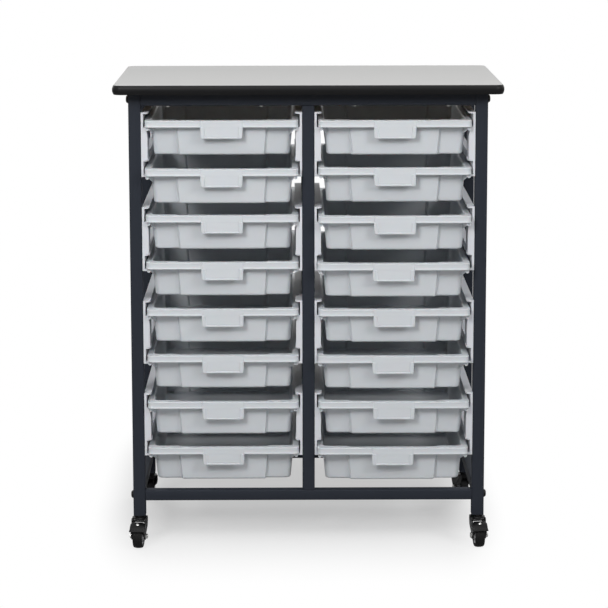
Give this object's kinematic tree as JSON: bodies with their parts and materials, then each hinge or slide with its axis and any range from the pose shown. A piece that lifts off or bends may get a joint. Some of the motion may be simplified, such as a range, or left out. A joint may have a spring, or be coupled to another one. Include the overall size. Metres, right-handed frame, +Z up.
{
  "type": "mobile bin rack",
  "caption": "Mobile steel-tube rack with a flat laminate worktop over columns of shallow sliding plastic trays, on swivel casters with foot brakes.",
  "frame": {"origin": "on the floor under the middle of the worktop", "axes": "+Z up, -Y towards the front where the tray handles are, +X to the right seen from the front"},
  "size_m": [0.79, 0.47, 0.966],
  "materials": {
    "frame_paint": "satin",
    "board": "matte",
    "laminate": "satin",
    "edge_band": "satin",
    "tray_plastic": "satin",
    "runner_plastic": "satin",
    "zinc_steel": "satin",
    "black_steel": "gloss",
    "hub_plastic": "satin",
    "tyre_rubber": "matte"
  },
  "bodies": {
    "rack": {"worktop_core": "board", "worktop_laminate": "laminate", "worktop_edge_band": "edge_band", "worktop_screws": "zinc_steel", "post_front_left": "frame_paint", "post_front_centre": "frame_paint", "post_front_right": "frame_paint", "post_rear_left": "frame_paint", "post_rear_centre": "frame_paint", "post_rear_right": "frame_paint", "rail_top_front": "frame_paint", "rail_top_rear": "frame_paint", "rail_top_left": "frame_paint", "rail_top_right": "frame_paint", "rail_bottom_front": "frame_paint", "rail_bottom_rear": "frame_paint", "rail_bottom_left": "frame_paint", "rail_bottom_right": "frame_paint", "side_bolts": "black_steel", "rail_inserts": "zinc_steel", "runners_left_outer": "runner_plastic", "runners_left_inner": "runner_plastic", "runners_right_inner": "runner_plastic", "runners_right_outer": "runner_plastic", "runner_screws": "zinc_steel", "caster_stems": "black_steel"},
    "tray_l1": {"tray_l1": "tray_plastic"},
    "tray_l2": {"tray_l2": "tray_plastic"},
    "tray_l3": {"tray_l3": "tray_plastic"},
    "tray_l4": {"tray_l4": "tray_plastic"},
    "tray_l5": {"tray_l5": "tray_plastic"},
    "tray_l6": {"tray_l6": "tray_plastic"},
    "tray_l7": {"tray_l7": "tray_plastic"},
    "tray_l8": {"tray_l8": "tray_plastic"},
    "tray_r1": {"tray_r1": "tray_plastic"},
    "tray_r2": {"tray_r2": "tray_plastic"},
    "tray_r3": {"tray_r3": "tray_plastic"},
    "tray_r4": {"tray_r4": "tray_plastic"},
    "tray_r5": {"tray_r5": "tray_plastic"},
    "tray_r6": {"tray_r6": "tray_plastic"},
    "tray_r7": {"tray_r7": "tray_plastic"},
    "tray_r8": {"tray_r8": "tray_plastic"},
    "caster_front_left": {"fork_front_left": "black_steel", "axle_front_left": "zinc_steel"},
    "wheel_front_left": {"hub_front_left": "hub_plastic", "tyre_front_left": "tyre_rubber"},
    "pedal_left": {"brake_pedal_left": "black_steel"},
    "caster_front_right": {"fork_front_right": "black_steel", "axle_front_right": "zinc_steel"},
    "wheel_front_right": {"hub_front_right": "hub_plastic", "tyre_front_right": "tyre_rubber"},
    "pedal_right": {"brake_pedal_right": "black_steel"},
    "caster_rear_left": {"fork_rear_left": "black_steel", "axle_rear_left": "zinc_steel"},
    "wheel_rear_left": {"hub_rear_left": "hub_plastic", "tyre_rear_left": "tyre_rubber"},
    "caster_rear_right": {"fork_rear_right": "black_steel", "axle_rear_right": "zinc_steel"},
    "wheel_rear_right": {"hub_rear_right": "hub_plastic", "tyre_rear_right": "tyre_rubber"}
  },
  "joints": [
    {"name": "tray_l1_slide", "type": "slide", "parent": "rack", "child": "tray_l1", "axis": [0, -1, 0], "range_m": [0, 0.33]},
    {"name": "tray_l2_slide", "type": "slide", "parent": "rack", "child": "tray_l2", "axis": [0, -1, 0], "range_m": [-0.017, 0.313]},
    {"name": "tray_l3_slide", "type": "slide", "parent": "rack", "child": "tray_l3", "axis": [0, -1, 0], "range_m": [-0.001, 0.329]},
    {"name": "tray_l4_slide", "type": "slide", "parent": "rack", "child": "tray_l4", "axis": [0, -1, 0], "range_m": [0, 0.33]},
    {"name": "tray_l5_slide", "type": "slide", "parent": "rack", "child": "tray_l5", "axis": [0, -1, 0], "range_m": [-0.001, 0.329]},
    {"name": "tray_l6_slide", "type": "slide", "parent": "rack", "child": "tray_l6", "axis": [0, -1, 0], "range_m": [0, 0.33]},
    {"name": "tray_l7_slide", "type": "slide", "parent": "rack", "child": "tray_l7", "axis": [0, -1, 0], "range_m": [-0.0035, 0.3265]},
    {"name": "tray_l8_slide", "type": "slide", "parent": "rack", "child": "tray_l8", "axis": [0, -1, 0], "range_m": [-0.0015, 0.3285]},
    {"name": "tray_r1_slide", "type": "slide", "parent": "rack", "child": "tray_r1", "axis": [0, -1, 0], "range_m": [-0.003, 0.327]},
    {"name": "tray_r2_slide", "type": "slide", "parent": "rack", "child": "tray_r2", "axis": [0, -1, 0], "range_m": [-0.004, 0.326]},
    {"name": "tray_r3_slide", "type": "slide", "parent": "rack", "child": "tray_r3", "axis": [0, -1, 0], "range_m": [-0.017, 0.313]},
    {"name": "tray_r4_slide", "type": "slide", "parent": "rack", "child": "tray_r4", "axis": [0, -1, 0], "range_m": [-0.018, 0.312]},
    {"name": "tray_r5_slide", "type": "slide", "parent": "rack", "child": "tray_r5", "axis": [0, -1, 0], "range_m": [-0.008, 0.322]},
    {"name": "tray_r6_slide", "type": "slide", "parent": "rack", "child": "tray_r6", "axis": [0, -1, 0], "range_m": [-0.012, 0.318]},
    {"name": "tray_r7_slide", "type": "slide", "parent": "rack", "child": "tray_r7", "axis": [0, -1, 0], "range_m": [-0.006, 0.324]},
    {"name": "tray_r8_slide", "type": "slide", "parent": "rack", "child": "tray_r8", "axis": [0, -1, 0], "range_m": [-0.008, 0.322]},
    {"name": "swivel_front_left", "type": "hinge", "parent": "rack", "child": "caster_front_left", "pos_m": [-0.3518, -0.1843, 0.06], "axis": [0, 0, 1], "continuous": true},
    {"name": "roll_front_left", "type": "hinge", "parent": "caster_front_left", "child": "wheel_front_left", "pos_m": [-0.35372, -0.20622, 0.025], "axis": [0.9962, -0.0872, 0], "continuous": true},
    {"name": "brake_left", "type": "hinge", "parent": "caster_front_left", "child": "pedal_left", "pos_m": [-0.35354, -0.20422, 0.0573], "axis": [0.9962, -0.0872, 0], "range_deg": [0, 4.8]},
    {"name": "swivel_front_right", "type": "hinge", "parent": "rack", "child": "caster_front_right", "pos_m": [0.3518, -0.1843, 0.06], "axis": [0, 0, 1], "continuous": true},
    {"name": "roll_front_right", "type": "hinge", "parent": "caster_front_right", "child": "wheel_front_right", "pos_m": [0.35372, -0.20622, 0.025], "axis": [0.9962, 0.0872, 0], "continuous": true},
    {"name": "brake_right", "type": "hinge", "parent": "caster_front_right", "child": "pedal_right", "pos_m": [0.35354, -0.20422, 0.0573], "axis": [0.9962, 0.0872, 0], "range_deg": [0, 4.8]},
    {"name": "swivel_rear_left", "type": "hinge", "parent": "rack", "child": "caster_rear_left", "pos_m": [-0.3518, 0.1563, 0.06], "axis": [0, 0, 1], "continuous": true},
    {"name": "roll_rear_left", "type": "hinge", "parent": "caster_rear_left", "child": "wheel_rear_left", "pos_m": [-0.35932, 0.17697, 0.025], "axis": [-0.9397, -0.342, 0], "continuous": true},
    {"name": "swivel_rear_right", "type": "hinge", "parent": "rack", "child": "caster_rear_right", "pos_m": [0.3518, 0.1563, 0.06], "axis": [0, 0, 1], "continuous": true},
    {"name": "roll_rear_right", "type": "hinge", "parent": "caster_rear_right", "child": "wheel_rear_right", "pos_m": [0.34428, 0.17697, 0.025], "axis": [-0.9397, -0.342, 0], "continuous": true}
  ]
}
